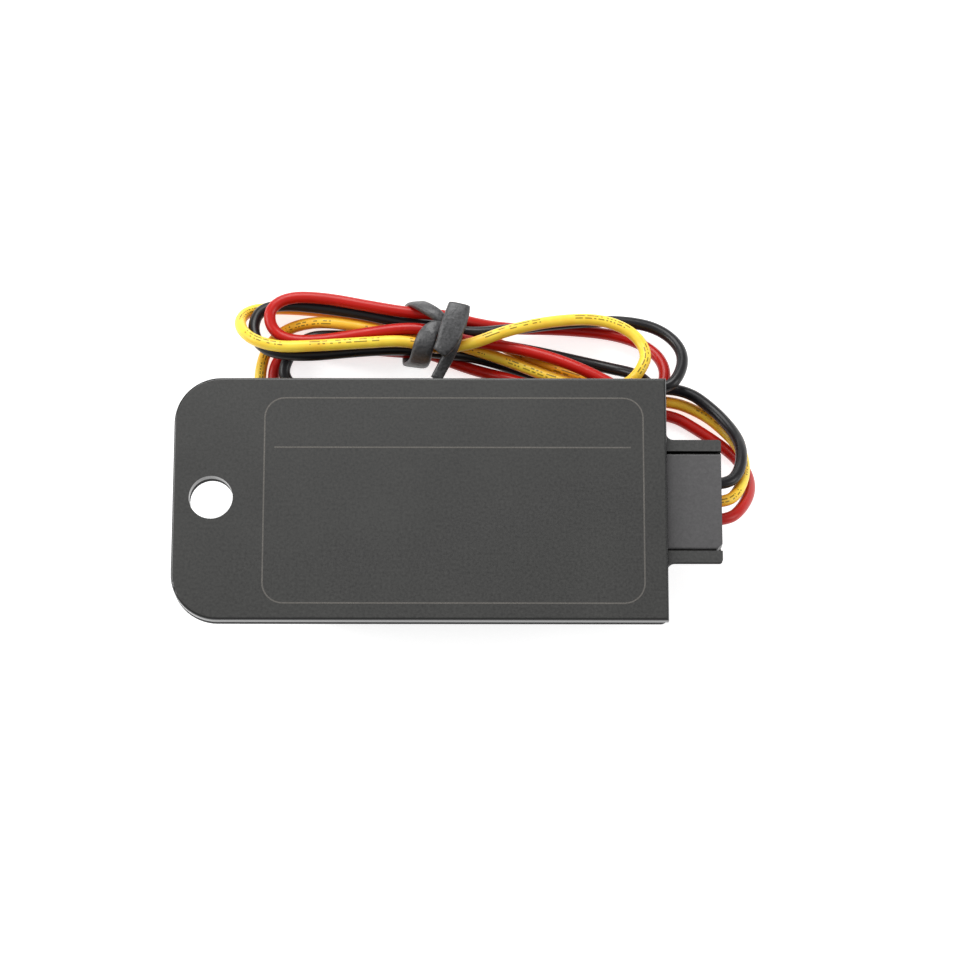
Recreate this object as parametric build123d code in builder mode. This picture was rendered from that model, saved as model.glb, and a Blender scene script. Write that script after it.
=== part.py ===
# Temperature and humidity sensor module: a flat moulded case with a screw ear at one end
# and a wire plug at the other. Millimetres. The grille lies on the floor at z = 0, the flat
# back cover faces up, and the plug leaves towards +X. The origin is below the middle of the case.
import os
from math import pi, radians, sin, tan

from build123d import *

os.makedirs("parts", exist_ok=True)

# Case, outside
overall_length = 58.8
case_width = 26.7
overall_height = 13.8
socket_reach = 5.9
cover_thickness = 1.2
cover_edge_radius = 0.3
flange_thickness = 1.0
ear_corner_radius = 5.0
plug_end_corner_radius = 0.6
ear_length = 12.8
body_width = 22.7
body_end_inset = 0.7
body_draft = 3.0
body_corner_radius = 3.2
body_edge_radius = 0.8
wall = 1.4
screw_hole_diameter = 4.7
screw_hole_from_end = 4.1

# Grille in the front wall
slot_length = 7.4
slot_width = 1.5
slot_corner_chamfer = 0.4
slot_pitch = 3.0
slot_rows = 8
slot_columns = 2
slot_column_pitch = 9.0

# Seats between case and cover
seam_clearance = 0.15
lip_height = 1.0
lip_thickness = 0.9
lip_end_gap = 0.4
hook_width = 3.0
hook_length = 4.2
hook_catch = 0.35
hook_clearance = 0.15
hook_nose = 0.9
hook_spread = 19.0

# Circuit board and what it carries
board_thickness = 1.0
board_height = 5.0
board_clearance = 0.4
board_end_gap = 0.8
board_corner_radius = 1.2
post_diameter = 2.6
post_pin_diameter = 1.2
post_pin_clearance = 0.1
post_inset = 2.4
lead_hole_clearance = 0.1
pin_hole_sides = 8
humidity_size = (10.0, 6.0, 0.8)
humidity_place = (-6.0, -5.0)
humidity_height = 2.6
humidity_film = (7.0, 4.0, 0.12)
humidity_leg_pitch = 5.0
leg_above_board = 0.6
leg_width = 0.5
bead_diameter = 2.2
bead_length = 2.4
bead_neck = 1.9
bead_below_board = 0.8
bead_place = (-6.0, 5.2)
thermistor_pitch = 1.4
thermistor_lead = 0.4
chip_size = (8.6, 3.9, 1.5)
chip_place = (-4.0, 0.0)
chip_standoff = 0.1
chip_pins_a_side = 7
chip_pin_pitch = 1.27
chip_pin_width = 0.4
chip_pin_thickness = 0.2
chip_pin_reach = 1.1
chip_edge_chamfer = 0.2
chip_component = (1.6, 0.8, 0.6)
capacitor_height = 0.8
capacitor_places = [(7.0, 3.2), (7.0, -3.2)]
resistor_places = [(-6.4, -1.8), (-6.4, 1.8), (7.6, -0.6), (9.2, -0.6)]

# Plug and the header that it grips
ways = 4
way_pitch = 2.0
plug_width = 10.6
plug_height = 5.6
plug_length = 10.0
plug_rail_height = 2.2
plug_stem_width = 8.4
plug_edge_radius = 0.25
plug_corner_chamfer = 0.6
cavity_width = 1.6
cavity_height = 1.9
latch_from_front = 3.2
latch_length = 1.6
wire_height = 8.1
plug_side_clearance = 0.2
plug_face_clearance = 0.2
socket_rim = 1.25
socket_wall = 0.7
socket_floor = 1.2
socket_ledge = 0.6
socket_corner_fillet = 0.8
socket_end_radius = 0.3
socket_cut_over = 0.6
header_base = 1.8
header_height = 5.0
header_side_gap = 0.3
header_chamfer = 0.3
header_pin = 0.5
header_pin_gap = 0.03
header_pin_reach = 5.9
header_leg_offset = 1.0
header_leg_below = 1.2
pin_to_terminal = 0.08
terminal_wall = 0.2
terminal_clearance = 0.1
receptacle_length = 4.8
barrel_diameter = 1.3
terminal_front_gap = 0.8

# Wires
wire_diameter = 1.3
wire_sides = 6
wire_entry = 1.0
conductor_diameter = 0.7
stripped_length = 2.0
bend_share = 0.45

# Tie round the hank
tie_bottom = 0.05
tie_thickness = 0.45
tie_inside = (5.55, 5.45)
tie_middle_y = 21.78
tie_corner_radius = 1.6
tie_strip_width = 2.2
tie_back_x = -4.0
tie_knot = (-0.9, 21.6)
tie_knot_half_height = 1.3
tie_tail_width = 2.3
tie_tail_thickness = 1.1
tie_tail_start = (-0.3, 18.6, 6.75)
tie_tail_end = (0.95, 24.3, 7.0)
tie_edge_radius = 0.3
tie_tag_width = 1.4
tie_tag_thickness = 0.9
tie_tag_start = (0.2, 19.0, 6.6)
tie_tag_end = (-1.3, 15.9, 4.6)

# Worked out from the sizes above
left_end = -overall_length / 2
right_end = overall_length / 2
case_length = overall_length - socket_reach
case_right = right_end - socket_reach
case_middle = (left_end + case_right) / 2
seam_height = overall_height - cover_thickness
flange_bottom = seam_height - flange_thickness
body_left = left_end + ear_length
body_right = case_right - body_end_inset
body_length = body_right - body_left
body_middle = (body_left + body_right) / 2
hole_x = left_end + screw_hole_from_end
lean = tan(radians(body_draft))
cavity_opening = body_width - 2 * wall
socket_width = plug_width + 2 * plug_side_clearance
socket_stem_width = plug_stem_width + 2 * plug_side_clearance
plug_top = seam_height - plug_face_clearance
plug_bottom = plug_top - plug_height
rail_bottom = plug_top - plug_rail_height
socket_floor_top = plug_bottom - plug_face_clearance
ledge_top = rail_bottom - plug_face_clearance
ledge_bottom = ledge_top - socket_ledge
socket_bottom = socket_floor_top - socket_floor
plug_front = right_end - plug_length
socket_front = plug_front - plug_face_clearance
board_top = board_height + board_thickness
board_inset = lean * (seam_height - board_height) + board_clearance
board_left = body_left + wall + board_inset
board_right = socket_front - board_end_gap
board_length = board_right - board_left
board_middle = (board_left + board_right) / 2
board_width = cavity_opening - 2 * board_inset
way_places = [(i - (ways - 1) / 2) * way_pitch for i in range(ways)]
post_x = board_length / 2 - post_inset
post_y = board_width / 2 - post_inset
terminal_front = plug_front + terminal_front_gap
wire_start = right_end - wire_entry
element_x = body_middle + humidity_place[0]
element_y = humidity_place[1]
bead_x = body_middle + bead_place[0]
bead_y = bead_place[1]
chip_x = body_middle + chip_place[0]
chip_y = chip_place[1]
header_back = board_right - header_base
header_leg_x = header_back - header_leg_offset
socket_outside = socket_width + 2 * socket_rim
socket_length = right_end - socket_front
socket_middle = (right_end + socket_front) / 2
hook_end = seam_height - hook_length
hook_y = cavity_opening / 2 - seam_clearance - lean * hook_length
hook_middle = (body_left + wall + socket_front) / 2
window_depth = 2 * (hook_catch + hook_clearance)
window_y = hook_y + seam_clearance
tie_outside = (tie_inside[0] + 2 * tie_thickness, tie_inside[1] + 2 * tie_thickness)
tie_middle_z = tie_bottom + tie_outside[1] / 2
lip_inset = seam_clearance + lean * lip_height
terminal_width = cavity_width - 2 * terminal_clearance
header_width = socket_width - 2 * header_side_gap
bead_top = board_height - bead_below_board
bead_bottom = bead_top - bead_length


def pin_hole_radius(pin_width):
    """The radius of a board hole that a square or round pin passes with its clearance."""
    return pin_width / 2 * 2 ** 0.5 + lead_hole_clearance


def body_outline(grow=0.0, mode=Mode.ADD):
    """The plan of the case body at the flange, made larger or smaller all round."""
    radius = body_corner_radius + grow
    with Locations((body_middle, 0)):
        RectangleRounded(body_length + 2 * grow, body_width + 2 * grow, radius, mode=mode)


def case_outline():
    """The plan that the flange and the cover share: round at the ear, nearly square at the plug."""
    with Locations((case_middle, 0)):
        plan = Rectangle(case_length, case_width)
    fillet(plan.vertices().group_by(Axis.X)[0], ear_corner_radius)
    fillet(plan.vertices().group_by(Axis.X)[-1], plug_end_corner_radius)


# Front housing: drafted tray with grille, flange and ear, board posts, hook windows and plug socket
with BuildPart() as front_housing:
    with BuildSketch(Plane.XY.offset(flange_bottom)):
        body_outline()
    extrude(amount=-flange_bottom, taper=body_draft)
    fillet(front_housing.faces().sort_by(Axis.Z)[0].edges(), body_edge_radius)
    with BuildSketch(Plane.XY.offset(flange_bottom)) as flange_plan:
        case_outline()
        with Locations((case_right, 0)):
            Rectangle(2 * socket_reach, socket_outside)
        inner_corners = flange_plan.vertices().filter_by(
            lambda corner: abs(corner.X - case_right) < 0.01 and abs(corner.Y) < socket_outside
        )
        fillet(inner_corners, socket_corner_fillet)
        fillet(flange_plan.vertices().group_by(Axis.X)[-1], socket_end_radius)
    extrude(amount=flange_thickness)
    with BuildSketch(Plane.XY.offset(ledge_bottom)):
        with Locations((socket_middle, 0)):
            Rectangle(socket_length, socket_width + 2 * socket_wall)
    extrude(amount=flange_bottom - ledge_bottom)
    with BuildSketch(Plane.XY.offset(socket_bottom)):
        with Locations((socket_middle, 0)):
            Rectangle(socket_length, socket_stem_width + 2 * socket_wall)
    extrude(amount=ledge_bottom - socket_bottom)
    with BuildSketch(Plane.XY.offset(seam_height)):
        body_outline(-wall)
        with Locations(((body_right + socket_front) / 2, 0)):
            Rectangle(body_right - socket_front, socket_outside, mode=Mode.SUBTRACT)
    extrude(amount=wall - seam_height, taper=body_draft, mode=Mode.SUBTRACT)
    with BuildSketch(Plane.XY.offset(seam_height)):
        with Locations((socket_middle, 0)):
            Rectangle(socket_length + 2 * socket_cut_over, socket_width)
    extrude(amount=ledge_top - seam_height, mode=Mode.SUBTRACT)
    with BuildSketch(Plane.XY.offset(ledge_top)):
        with Locations((socket_middle, 0)):
            Rectangle(socket_length + 2 * socket_cut_over, socket_stem_width)
    extrude(amount=socket_floor_top - ledge_top, mode=Mode.SUBTRACT)
    with BuildSketch(Plane.XY):
        with Locations((body_middle, 0)):
            with GridLocations(slot_pitch, slot_column_pitch, slot_rows, slot_columns):
                slot = Rectangle(slot_width, slot_length)
        chamfer(slot.vertices(), slot_corner_chamfer)
    extrude(amount=wall, mode=Mode.SUBTRACT)
    with BuildSketch(Plane.XY.offset(seam_height)):
        with Locations((hole_x, 0)):
            Circle(screw_hole_diameter / 2)
    extrude(amount=-flange_thickness, mode=Mode.SUBTRACT)
    with BuildSketch(Plane.XY.offset(wall)):
        with Locations((board_middle, 0)):
            with GridLocations(2 * post_x, 2 * post_y, 2, 2):
                Circle(post_diameter / 2)
    extrude(amount=board_height - wall)
    with BuildSketch(Plane.XY.offset(board_height)):
        with Locations((board_middle, 0)):
            with GridLocations(2 * post_x, 2 * post_y, 2, 2):
                Circle(post_pin_diameter / 2)
    extrude(amount=board_thickness)
    with BuildSketch(Plane.XY.offset(hook_end - hook_clearance)):
        with Locations((hook_middle, 0)):
            with GridLocations(hook_spread, 2 * window_y, 2, 2):
                Rectangle(hook_width + 4 * hook_clearance, window_depth)
    extrude(amount=hook_nose + 2 * hook_clearance, mode=Mode.SUBTRACT)

# Back cover: flat plate with the same outline, a rim that seats in the tray and four snap hooks
with BuildPart() as back_cover:
    with BuildSketch(Plane.XY.offset(seam_height)):
        case_outline()
        with Locations((hole_x, 0)):
            Circle(screw_hole_diameter / 2, mode=Mode.SUBTRACT)
    extrude(amount=cover_thickness)
    outer_edges = back_cover.faces().sort_by(Axis.Z)[-1].outer_wire().edges()
    fillet(outer_edges, cover_edge_radius)
    with BuildSketch(Plane.XY.offset(seam_height)):
        body_outline(-wall - lip_inset)
        body_outline(-wall - lip_inset - lip_thickness, mode=Mode.SUBTRACT)
        with Locations((socket_middle - lip_end_gap, 0)):
            Rectangle(socket_length, socket_outside + 2 * lip_end_gap, mode=Mode.SUBTRACT)
    extrude(amount=-lip_height)
    for side in (-1, 1):
        for x in (hook_middle - hook_spread / 2, hook_middle + hook_spread / 2):
            with BuildSketch(Plane.YZ.offset(x - hook_width / 2)):
                with BuildLine():
                    Polyline(
                        (side * (hook_y - lip_thickness), seam_height),
                        (side * hook_y, seam_height),
                        (side * hook_y, hook_end + hook_nose),
                        (side * (hook_y + hook_catch), hook_end + hook_nose),
                        (side * hook_y, hook_end),
                        (side * (hook_y - lip_thickness), hook_end),
                        close=True,
                    )
                make_face()
            extrude(amount=hook_width)

# Circuit board on the four posts
with BuildPart() as circuit_board:
    with BuildSketch(Plane.XY.offset(board_height)):
        with Locations((board_middle, 0)):
            RectangleRounded(board_length, board_width, board_corner_radius)
            with GridLocations(2 * post_x, 2 * post_y, 2, 2):
                Circle(post_pin_diameter / 2 + post_pin_clearance, mode=Mode.SUBTRACT)
        with Locations(*[(header_leg_x, y) for y in way_places]):
            RegularPolygon(pin_hole_radius(header_pin), pin_hole_sides, mode=Mode.SUBTRACT)
        with Locations((element_x, element_y)):
            with GridLocations(humidity_leg_pitch, 1, 2, 1):
                RegularPolygon(pin_hole_radius(leg_width), pin_hole_sides, mode=Mode.SUBTRACT)
        with Locations((bead_x, bead_y)):
            with GridLocations(thermistor_pitch, 1, 2, 1):
                RegularPolygon(pin_hole_radius(thermistor_lead), pin_hole_sides, mode=Mode.SUBTRACT)
    extrude(amount=board_thickness)

# Humidity element: a ceramic chip with its film towards the grille, hung from the board by two legs
with BuildPart() as humidity_element:
    with BuildSketch(Plane.XY.offset(humidity_height)):
        with Locations((element_x, element_y)):
            Rectangle(humidity_size[0], humidity_size[1])
    extrude(amount=humidity_size[2])
    with BuildSketch(Plane.XY.offset(humidity_height)):
        with Locations((element_x, element_y)):
            Rectangle(humidity_film[0], humidity_film[1])
    extrude(amount=-humidity_film[2])

humidity_top = humidity_height + humidity_size[2]
with BuildPart() as humidity_legs:
    with BuildSketch(Plane.XY.offset(humidity_top)):
        with Locations((element_x, element_y)):
            with GridLocations(humidity_leg_pitch, 1, 2, 1):
                Rectangle(leg_width, leg_width)
    extrude(amount=board_top + leg_above_board - humidity_top)

# Thermistor: a dipped bead, flat where its two leads come out
with BuildPart() as thermistor_bead:
    with BuildSketch(Plane.XZ.offset(-bead_y)):
        with BuildLine():
            bead_tip = JernArc((bead_x, bead_bottom), (1, 0), bead_diameter / 2, 90)
            Polyline(
                bead_tip @ 1,
                (bead_x + bead_neck / 2, bead_top),
                (bead_x, bead_top),
                (bead_x, bead_bottom),
            )
        make_face()
    revolve(axis=Axis((bead_x, bead_y, 0), (0, 0, 1)))

with BuildPart() as thermistor_leads:
    with BuildSketch(Plane.XY.offset(bead_top)):
        with Locations((bead_x, bead_y)):
            with GridLocations(thermistor_pitch, 1, 2, 1):
                Circle(thermistor_lead / 2)
    extrude(amount=board_top + leg_above_board - bead_top)

# Microcontroller: moulded body and gull-wing leads
with BuildPart() as microcontroller:
    with BuildSketch(Plane.XY.offset(board_top + chip_standoff)):
        with Locations((chip_x, chip_y)):
            Rectangle(chip_size[0], chip_size[1])
    extrude(amount=chip_size[2])
    chamfer(microcontroller.faces().sort_by(Axis.Z)[-1].edges(), chip_edge_chamfer)

chip_side = chip_y + chip_size[1] / 2
shoulder = board_top + chip_standoff + chip_size[2] / 2
with BuildPart() as chip_lead:
    with BuildSketch(Plane.YZ):
        with BuildLine():
            Polyline(
                (chip_side, shoulder),
                (chip_side + chip_pin_reach / 2, shoulder),
                (chip_side + chip_pin_reach / 2, board_top + chip_pin_thickness),
                (chip_side + chip_pin_reach, board_top + chip_pin_thickness),
                (chip_side + chip_pin_reach, board_top),
                (chip_side + chip_pin_reach / 2 - chip_pin_thickness, board_top),
                (chip_side + chip_pin_reach / 2 - chip_pin_thickness, shoulder - chip_pin_thickness),
                (chip_side, shoulder - chip_pin_thickness),
                close=True,
            )
        make_face()
    extrude(amount=chip_pin_width / 2, both=True)

with BuildPart() as microcontroller_leads:
    with Locations((chip_x, 0, 0)):
        with GridLocations(chip_pin_pitch, 1, chip_pins_a_side, 1):
            add(chip_lead.part)
    mirror(about=Plane.XZ.offset(-chip_y))

# Small chip parts soldered beside the microcontroller
with BuildPart() as chip_capacitors:
    with BuildSketch(Plane.XY.offset(board_top)):
        with Locations(*[(chip_x + dx, chip_y + dy) for dx, dy in capacitor_places]):
            Rectangle(chip_component[0], chip_component[1])
    extrude(amount=capacitor_height)

with BuildPart() as chip_resistors:
    with BuildSketch(Plane.XY.offset(board_top)):
        with Locations(*[(chip_x + dx, chip_y + dy) for dx, dy in resistor_places]):
            Rectangle(chip_component[1], chip_component[0])
    extrude(amount=chip_component[2])

# Header: an upright nylon base on the board's end and four bent square pins that reach into the plug
with BuildPart() as header_housing:
    with BuildSketch(Plane.XY.offset(board_top)):
        with Locations((header_back + header_base / 2, 0)):
            Rectangle(header_base, header_width)
    extrude(amount=header_height)
    with BuildSketch(Plane.YZ.offset(header_back)):
        with Locations(*[(y, wire_height) for y in way_places]):
            Rectangle(header_pin + 2 * header_pin_gap, header_pin + 2 * header_pin_gap)
    extrude(amount=header_base, mode=Mode.SUBTRACT)
    chamfer(header_housing.faces().sort_by(Axis.Z)[-1].edges().filter_by(Axis.Y), header_chamfer)

with BuildPart() as header_pins:
    for y in way_places:
        with BuildSketch(Plane.XZ.offset(-y)):
            with BuildLine():
                Polyline(
                    (header_leg_x - header_pin / 2, board_height - header_leg_below),
                    (header_leg_x + header_pin / 2, board_height - header_leg_below),
                    (header_leg_x + header_pin / 2, wire_height - header_pin / 2),
                    (board_right + header_pin_reach, wire_height - header_pin / 2),
                    (board_right + header_pin_reach, wire_height + header_pin / 2),
                    (header_leg_x - header_pin / 2, wire_height + header_pin / 2),
                    close=True,
                )
            make_face()
        extrude(amount=header_pin / 2, both=True)

# Plug housing: four ways, three of them wired, with a latch window under each way. Two rails at its
# top slide on the socket's ledges, and the narrower stem between them holds the terminals.
with BuildPart() as plug_housing:
    with BuildSketch(Plane.YZ.offset(plug_front)):
        with Locations((0, (plug_top + plug_bottom) / 2)):
            Rectangle(plug_stem_width, plug_height)
        with Locations((0, plug_top - plug_rail_height / 2)):
            Rectangle(plug_width, plug_rail_height)
    extrude(amount=plug_length)
    keyed_corner = plug_housing.edges().filter_by(Axis.Z).group_by(Axis.X)[-1].sort_by(Axis.Y)[0]
    chamfer(keyed_corner, plug_corner_chamfer)
    fillet(plug_housing.edges().filter_by(Axis.X).group_by(Axis.Z)[-1], plug_edge_radius)
    with BuildSketch(Plane.YZ.offset(plug_front)):
        with Locations(*[(y, wire_height) for y in way_places]):
            Rectangle(cavity_width, cavity_height)
    extrude(amount=plug_length, mode=Mode.SUBTRACT)
    with BuildSketch(Plane.XY.offset(plug_bottom)):
        with Locations(*[(plug_front + latch_from_front, y) for y in way_places]):
            Rectangle(latch_length, cavity_width)
    extrude(amount=wire_height - plug_bottom, mode=Mode.SUBTRACT)


def crimp_terminal(y):
    """A box receptacle round the header pin and a round crimp barrel that the wire enters."""
    with BuildPart() as terminal:
        with BuildSketch(Plane.YZ.offset(terminal_front)):
            with Locations((y, wire_height)):
                Rectangle(terminal_width, terminal_width)
        extrude(amount=receptacle_length)
        with BuildSketch(Plane.YZ.offset(terminal_front)):
            with Locations((y, wire_height)):
                Rectangle(header_pin + 2 * pin_to_terminal, header_pin + 2 * pin_to_terminal)
        extrude(amount=receptacle_length - terminal_wall, mode=Mode.SUBTRACT)
        with BuildSketch(Plane.YZ.offset(terminal_front + receptacle_length)):
            with Locations((y, wire_height)):
                Circle(barrel_diameter / 2)
        extrude(amount=wire_start - terminal_front - receptacle_length)
    return terminal


def bend_radii(route):
    """One radius for each corner: as large as the two runs beside it leave room for."""
    radii = []
    for before, here, after in zip(route, route[1:], route[2:]):
        back = Vector(before) - Vector(here)
        ahead = Vector(after) - Vector(here)
        half_turn = radians(180 - back.get_angle(ahead)) / 2
        radii.append(bend_share * min(back.length, ahead.length) / tan(half_turn))
    return radii


def insulated_wire(route):
    """The insulated length of one wire: straight runs joined by tangent arcs."""
    with BuildPart() as cord:
        with BuildLine() as path:
            FilletPolyline(*route, radius=bend_radii(route))
        with BuildSketch(Plane(origin=path.line @ 0, z_dir=path.line % 0)):
            RegularPolygon(wire_diameter / 2, wire_sides)
        sweep()
    return cord, path.wires()[0]


def stripped_end(line):
    """The bare tinned end that carries straight on from the insulation."""
    with BuildPart() as bare:
        with BuildSketch(Plane(origin=line @ 1, z_dir=line % 1)):
            RegularPolygon(conductor_diameter / 2, wire_sides)
        extrude(amount=stripped_length)
    return bare


# Routes of the three wires: plug, round the case's corner, left along its long side, up into the
# hank and through its tie, right-hand loop, tie, left-hand loop, tie, and the free end behind the case
straight_exit = 1.9
exit_sag = 0.1
red_route = [
    (wire_start, way_places[1], wire_height),
    (wire_start + straight_exit, way_places[1], wire_height - exit_sag),
    (31.89, 0.38, 7), (33.17, 2.99, 4.7), (33.1, 5.8, 2.2), (31.6, 8.32, 0.86), (28.32, 10.75, 0.75),
    (24.38, 13.17, 0.75), (19.03, 12.37, 0.75), (11.02, 11.52, 0.75), (3, 11.75, 0.75), (-4, 12.5, 0.75),
    (-10.4, 13.25, 0.75), (-15.6, 13.35, 0.75), (-18.8, 14.4, 0.75), (-19.81, 16.8, 0.75),
    (-19.23, 19.4, 0.8), (-16.96, 20.61, 0.76), (-12.11, 20.46, 0.89), (-8.61, 20.31, 1.13),
    (-5.3, 19.94, 1.35), (-2.35, 19.87, 1.3), (0.45, 18.88, 0.75), (3.36, 17.85, 0.75),
    (7.37, 16.45, 2.19), (12.72, 14.49, 2.32), (18.05, 12.96, 2.57), (21.25, 13.01, 2.78),
    (22.74, 13.95, 2.91), (24.36, 16.65, 3.1), (23.29, 19.89, 1.6), (19.43, 22.13, 0.75),
    (13.03, 22.83, 0.75), (6.28, 22.61, 1.6), (2.23, 23.03, 2.76), (-0.26, 23.48, 3.9),
    (-4.75, 23.75, 4.1), (-9.03, 24.48, 4.15), (-13.62, 25.45, 3.9), (-17.76, 25.67, 3.88),
    (-20.02, 24.31, 3.92), (-19.94, 22.12, 3.8), (-18.13, 20.53, 3.81), (-14.13, 20.53, 3.79),
    (-9.44, 21.29, 4.1), (-4.75, 21.9, 4.35), (-1.54, 21.5, 4.55), (1.66, 20.32, 4.45),
    (5.59, 20.08, 3.84), (11.24, 18.59, 4.3), (16.42, 16.28, 4.79), (19.6, 14.4, 4.65),
]
yellow_route = [
    (wire_start, way_places[2], wire_height),
    (wire_start + straight_exit, way_places[2], wire_height - exit_sag),
    (31.66, 2.4, 7), (32.62, 5.13, 5.2), (32.41, 8.34, 2.77), (30.92, 10.72, 1.16), (28.39, 13.04, 0.75),
    (24.63, 14.56, 0.75), (19.82, 14.1, 0.75), (12, 13.15, 0.75), (4, 13.25, 1.18), (-2, 13, 2.3),
    (-7.4, 12.1, 2.25), (-12.8, 11.7, 0.9), (-18.2, 12.05, 0.75), (-20.81, 14.3, 0.75),
    (-21.25, 17.55, 0.8), (-20.37, 20.81, 0.85), (-18.2, 22.75, 1.3), (-14.62, 23.26, 2.36),
    (-10.23, 22.68, 2.47), (-4.9, 21.3, 2.85), (-1.47, 21.12, 3.22), (1.89, 20.02, 3.07),
    (4.71, 19.28, 2.46), (8.05, 18.01, 2.52), (12.15, 16.13, 3.22), (16.94, 15.24, 2.87),
    (19.8, 15.52, 3.52), (21.29, 16.73, 5.13), (22.1, 19.1, 4.16), (20.4, 21.7, 3.9), (16.6, 23.2, 3.8),
    (11.14, 22.59, 4.6), (6.35, 21.15, 5.72), (2.27, 19.48, 5.6), (-1.66, 19.32, 4.7), (-4.75, 20.4, 4.5),
    (-9.85, 19.91, 5), (-15.6, 19.4, 5.45), (-19.2, 19.3, 5.5), (-22.2, 20.4, 5.1), (-23.6, 22.85, 2.85),
    (-22.6, 24.9, 1.15), (-19.6, 25.25, 0.85), (-14.4, 24.9, 1), (-7, 23.65, 1.3), (-1.49, 22.9, 1.2),
    (1.9, 22.4, 0.75), (4.66, 21.67, 0.75), (8.66, 19.37, 0.75), (13.25, 17.6, 0.75), (16.4, 16.7, 0.75),
]
black_route = [
    (wire_start, way_places[3], wire_height),
    (wire_start + straight_exit, way_places[3], wire_height - exit_sag),
    (31.72, 4.38, 7.4), (32.27, 7.24, 6), (31.71, 9.81, 3.9), (29.61, 12.9, 2.3), (26.46, 15.48, 1.83),
    (21.89, 15.78, 1.36), (13.6, 14.82, 0.75), (4.62, 14.61, 0.75), (-4.4, 14.7, 0.75), (-11.6, 14.8, 0.8),
    (-16.4, 15.2, 1.2), (-18.6, 16.9, 1.85), (-18, 19.15, 2.08), (-16, 21.41, 2.49), (-12.12, 21.96, 1.15),
    (-5.8, 21.59, 1.24), (-1.5, 21.35, 1.36), (1.7, 21.31, 1.94), (4.6, 20.66, 2.12), (9.05, 19.84, 2.42),
    (13.55, 19.13, 1.35), (18.02, 18.12, 1.27), (21.07, 16.99, 2.75), (22.62, 14.91, 4.38),
    (24.8, 15, 5.07), (26.14, 17.87, 3.9), (25.7, 20.45, 2.65), (23.42, 22.61, 1.9), (19.95, 23.42, 1.9),
    (15.57, 23.32, 2.2), (10.74, 22.78, 2.6), (6.59, 21.92, 3.43), (2.24, 21.36, 3.89),
    (-1.52, 22.55, 2.93), (-4.75, 22.85, 2.85), (-9.6, 24.03, 2.7), (-14.32, 24.76, 2.55),
    (-18.6, 25.2, 2.42), (-21.2, 24.6, 2.35), (-22, 22.4, 2.7), (-21.2, 20.15, 3.35), (-19.2, 18.9, 4.1),
    (-15.75, 18.68, 4.05), (-11.56, 19.26, 3.5), (-8.01, 19.68, 3.1), (-4.75, 19.8, 2.95),
    (-1, 19.42, 2.8), (1.9, 19.5, 1.59), (4.77, 18.95, 1.11), (9.13, 17.46, 1.03), (12.6, 16.53, 1.7),
]

red_wire, red_line = insulated_wire(red_route)
yellow_wire, yellow_line = insulated_wire(yellow_route)
black_wire, black_line = insulated_wire(black_route)
red_wire_end = stripped_end(red_line)
yellow_wire_end = stripped_end(yellow_line)
black_wire_end = stripped_end(black_line)
red_terminal = crimp_terminal(way_places[1])
yellow_terminal = crimp_terminal(way_places[2])
black_terminal = crimp_terminal(way_places[3])

# Tie: one flat strip laid round the hank, its two front limbs drawn together at a knot
tie_low_y = tie_middle_y - tie_outside[0] / 2
tie_high_y = tie_middle_y + tie_outside[0] / 2
with BuildPart() as tie_plan:
    with BuildSketch(Plane.XY):
        with Locations((tie_back_x, tie_middle_y)):
            Rectangle(tie_strip_width, tie_outside[0])
    extrude(amount=tie_middle_z)
    with BuildSketch(Plane.XY.offset(tie_middle_z)):
        with BuildLine():
            Polyline(
                (tie_back_x - tie_strip_width / 2, tie_low_y),
                (tie_back_x + tie_strip_width / 2, tie_low_y),
                (tie_knot[0] + tie_strip_width / 2, tie_knot[1] - tie_knot_half_height),
                (tie_knot[0] + tie_strip_width / 2, tie_knot[1] + tie_knot_half_height),
                (tie_back_x + tie_strip_width / 2, tie_high_y),
                (tie_back_x - tie_strip_width / 2, tie_high_y),
                (tie_knot[0] - tie_strip_width / 2, tie_knot[1]),
                close=True,
            )
        make_face()
    extrude(amount=tie_outside[1] / 2 + tie_bottom)


def strip_plane(start, end):
    """The plane at the start of a straight strip, square to its run and level across its width."""
    along = Vector(end) - Vector(start)
    return Plane(origin=start, x_dir=(along.Y, -along.X, 0), z_dir=along)


tie_tail_length = (Vector(tie_tail_end) - Vector(tie_tail_start)).length
tie_tag_length = (Vector(tie_tag_end) - Vector(tie_tag_start)).length
with BuildPart() as wire_tie:
    with BuildSketch(Plane.YZ.offset(tie_back_x - tie_strip_width)):
        with Locations((tie_middle_y, tie_middle_z)):
            RectangleRounded(*tie_outside, tie_corner_radius)
            RectangleRounded(*tie_inside, tie_corner_radius - tie_thickness, mode=Mode.SUBTRACT)
    extrude(amount=4 * tie_strip_width)
    add(tie_plan.part, mode=Mode.INTERSECT)
    with BuildSketch(strip_plane(tie_tail_start, tie_tail_end)):
        RectangleRounded(tie_tail_width, tie_tail_thickness, tie_edge_radius)
    extrude(amount=tie_tail_length)
    with BuildSketch(strip_plane(tie_tag_start, tie_tag_end)):
        RectangleRounded(tie_tag_width, tie_tag_thickness, tie_edge_radius)
    extrude(amount=tie_tag_length)


wire_section = wire_sides * (wire_diameter / 2) ** 2 * sin(2 * pi / wire_sides) / 2


def sample_points(line, step=0.5):
    """Points along a wire's centre line, about one step apart."""
    count = round(line.length / step)
    return [line @ (i / count) for i in range(count + 1)]


def least_gap_to_itself(line, nearest_along=6.0):
    """The smallest free space between two places on one wire that are not simply neighbours."""
    points = sample_points(line)
    step = line.length / (len(points) - 1)
    skip = round(nearest_along / step)
    gaps = []
    for i, here in enumerate(points):
        for there in points[i + skip:]:
            gaps.append((there - here).length)
    return min(gaps) - wire_diameter


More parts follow.
